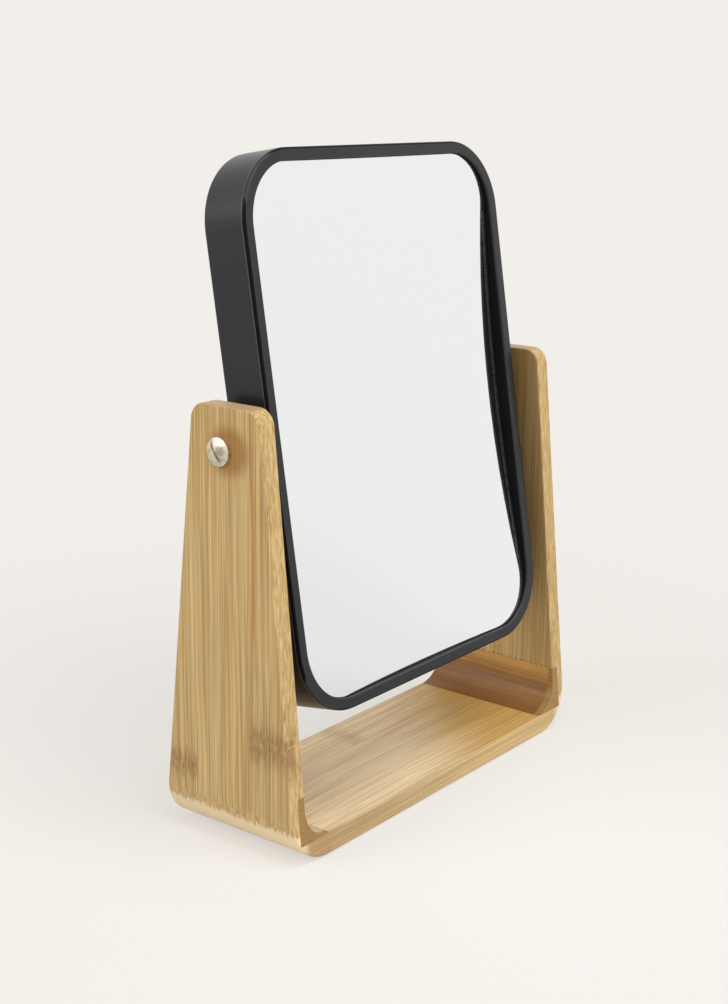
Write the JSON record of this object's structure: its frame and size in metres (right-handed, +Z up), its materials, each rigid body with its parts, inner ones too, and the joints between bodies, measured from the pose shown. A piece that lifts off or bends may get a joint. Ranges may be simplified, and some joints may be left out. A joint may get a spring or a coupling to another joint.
{
  "type": "tabletop mirror",
  "caption": "Two-sided tabletop mirror: a slim black rounded-rectangle head, magnifying in front, tilts between the tapered sides of a U-shaped bamboo stand.",
  "frame": {"origin": "on the surface that the stand rests on, in the middle of its footprint", "axes": "+X along the base to the right of someone facing the mirror's front, +Y to the back, +Z up"},
  "size_m": [0.175, 0.0598, 0.233],
  "materials": {
    "bamboo_base": "satin",
    "bamboo_panel": "satin",
    "bamboo_block": "satin",
    "foot_rubber": "matte",
    "washer_rubber": "matte",
    "nickel": "satin",
    "spacer_black": "matte",
    "brass": "satin",
    "housing_black": "satin",
    "bezel_black": "satin",
    "magnifying_mirror": "polished",
    "plain_mirror": "polished",
    "core_board": "matte",
    "foam": "matte"
  },
  "bodies": {
    "stand": {"base_board": "bamboo_base", "side_panel_left": "bamboo_panel", "side_panel_right": "bamboo_panel", "corner_block_left": "bamboo_block", "corner_block_right": "bamboo_block", "foot_front_left": "foot_rubber", "foot_front_right": "foot_rubber", "foot_rear_left": "foot_rubber", "foot_rear_right": "foot_rubber", "friction_washer_left": "washer_rubber", "friction_washer_right": "washer_rubber"},
    "mirror": {"pivot_screw_left": "nickel", "spacer_left": "spacer_black", "threaded_insert_left": "brass", "pivot_screw_right": "nickel", "spacer_right": "spacer_black", "threaded_insert_right": "brass", "housing": "housing_black", "front_bezel": "bezel_black", "front_glass": "magnifying_mirror", "rear_glass": "plain_mirror", "core_board": "core_board", "rear_foam": "foam", "pad_lower_left": "foam", "pad_lower_right": "foam", "pad_upper_left": "foam", "pad_upper_right": "foam"}
  },
  "joints": [
    {"name": "mirror_tilt", "type": "hinge", "parent": "stand", "child": "mirror", "pos_m": [0, 0.0022, 0.1382], "axis": [1, 0, 0], "continuous": true}
  ]
}
